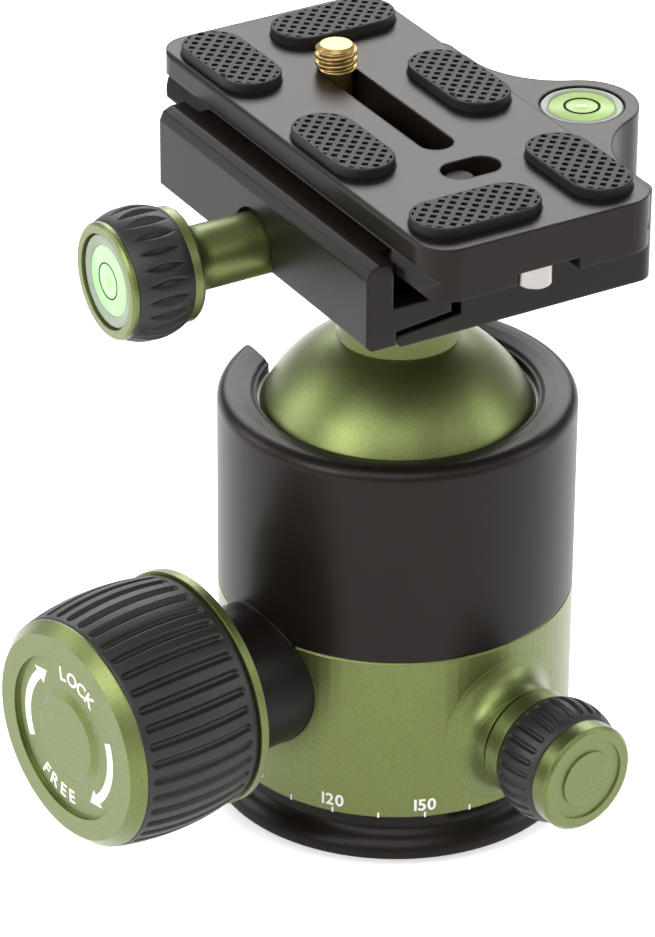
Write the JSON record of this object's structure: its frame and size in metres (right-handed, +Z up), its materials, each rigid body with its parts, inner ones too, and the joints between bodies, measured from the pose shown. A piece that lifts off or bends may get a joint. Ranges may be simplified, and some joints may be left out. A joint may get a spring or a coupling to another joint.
{
  "type": "tripod ball head",
  "caption": "Tripod ball head: drum housing with a ball under a screw-jaw clamp and quick-release plate, a large locking knob, a panning knob and bubble levels.",
  "frame": {"origin": "centre of the base's underside, on the panning axis", "axes": "+Z up along the panning axis; the main knob points to -X, the panning knob to -Y and the drop notch to +Y; the clamp and plate stand turned by -8 degrees about Z"},
  "size_m": [0.1016, 0.087, 0.1163],
  "materials": {
    "black_anodised": "satin bead-blasted anodising",
    "green_anodised": "satin bead-blasted anodising",
    "grip_rubber": "matt moulded",
    "steel": "turned",
    "brass": "turned",
    "white_plastic": "moulded",
    "level_liquid": "clear, filled with pale green liquid",
    "silver": "turned, bright",
    "blackened_steel": "gloss blackened"
  },
  "bodies": {
    "base": {"base_plate": "black_anodised", "spindle": "steel", "base_screws": "steel", "thrust_washer": "white_plastic"},
    "housing": {"ball_housing": "black_anodised", "lower_block": "silver", "dial_sleeve": "green_anodised", "upper_seat": "white_plastic", "retaining_ring": "steel", "ring_screws": "steel"},
    "lower_seat": {"lower_seat": "white_plastic"},
    "wedge": {"wedge": "steel"},
    "main_knob": {"main_knob_core": "green_anodised", "main_knob_grip": "grip_rubber", "main_screw": "steel"},
    "pan_shoe": {"pan_shoe": "brass"},
    "pan_knob": {"pan_knob_core": "green_anodised", "pan_knob_grip": "grip_rubber", "pan_screw": "steel"},
    "ball": {"ball": "green_anodised"},
    "stem": {"stem": "green_anodised"},
    "clamp": {"clamp_base": "black_anodised", "clamp_screw": "steel", "ear_level": "level_liquid", "jaw_guide_pins": "steel"},
    "jaw": {"jaw": "black_anodised"},
    "clamp_knob": {"clamp_knob_core": "green_anodised", "clamp_knob_grip": "grip_rubber", "clamp_knob_screw": "steel", "knob_level": "level_liquid"},
    "plate": {"quick_plate": "black_anodised", "plate_pads": "grip_rubber", "stop_pins": "silver"},
    "screw_slider": {"screw_washer": "steel"},
    "camera_screw": {"camera_screw": "brass"},
    "index_pin": {"index_pin": "blackened_steel"}
  },
  "joints": [
    {"name": "pan", "type": "hinge", "parent": "base", "child": "housing", "pos_m": [0, 0, 0.0077], "axis": [0, 0, 1], "continuous": true},
    {"name": "seat_lift", "type": "slide", "parent": "housing", "child": "lower_seat", "axis": [0, 0, 1], "range_m": [-0.00032, 0]},
    {"name": "wedge_slide", "type": "slide", "parent": "housing", "child": "wedge", "axis": [1, 0, 0], "range_m": [-0.00125, 0]},
    {"name": "main_knob_turn", "type": "hinge", "parent": "wedge", "child": "main_knob", "pos_m": [-0.0385, 0, 0.0299], "axis": [1, 0, 0], "range_deg": [-361, 1]},
    {"name": "shoe_slide", "type": "slide", "parent": "housing", "child": "pan_shoe", "axis": [0, 1, 0], "range_m": [-0.0008, 0]},
    {"name": "pan_knob_turn", "type": "hinge", "parent": "pan_shoe", "child": "pan_knob", "pos_m": [0, -0.0317, 0.0211], "axis": [0, 1, 0], "range_deg": [-361, 1]},
    {"name": "ball_side_tilt", "type": "hinge", "parent": "housing", "child": "ball", "pos_m": [0, 0, 0.0561], "axis": [0, 1, 0], "range_deg": [-25, 25]},
    {"name": "ball_drop_tilt", "type": "hinge", "parent": "ball", "child": "stem", "pos_m": [0, 0, 0.0561], "axis": [-1, 0, 0], "range_deg": [-25, 90]},
    {"name": "ball_spin", "type": "hinge", "parent": "stem", "child": "clamp", "pos_m": [0, 0, 0.0931], "axis": [0, 0, 1], "continuous": true},
    {"name": "jaw_slide", "type": "slide", "parent": "clamp", "child": "jaw", "axis": [0.9903, -0.1392, 0], "range_m": [-0.00245, 0.00017]},
    {"name": "clamp_knob_turn", "type": "hinge", "parent": "jaw", "child": "clamp_knob", "pos_m": [-0.02306, 0.00546, 0.0966], "axis": [0.9903, -0.1392, 0], "range_deg": [-1262, 91]},
    {"name": "plate_slide", "type": "slide", "parent": "clamp", "child": "plate", "axis": [-0.1392, -0.9903, 0], "range_m": [-0.0034, 0.0034]},
    {"name": "camera_screw_slide", "type": "slide", "parent": "plate", "child": "screw_slider", "axis": [-0.1392, -0.9903, 0], "range_m": [0, 0.028]},
    {"name": "camera_screw_turn", "type": "hinge", "parent": "screw_slider", "child": "camera_screw", "pos_m": [0.0026, 0.01852, 0.11215], "axis": [0, 0, 1], "continuous": true},
    {"name": "index_pin_slide", "type": "slide", "parent": "plate", "child": "index_pin", "axis": [0.9903, -0.1392, 0], "range_m": [0, 0.0038]}
  ],
  "couplings": [
    {"joint": "main_knob_turn", "follows": "wedge_slide", "rad_per_m": 5026.5},
    {"joint": "seat_lift", "follows": "wedge_slide", "ratio": 0.25},
    {"joint": "pan_knob_turn", "follows": "shoe_slide", "rad_per_m": 7854},
    {"joint": "clamp_knob_turn", "follows": "jaw_slide", "rad_per_m": 8976}
  ]
}
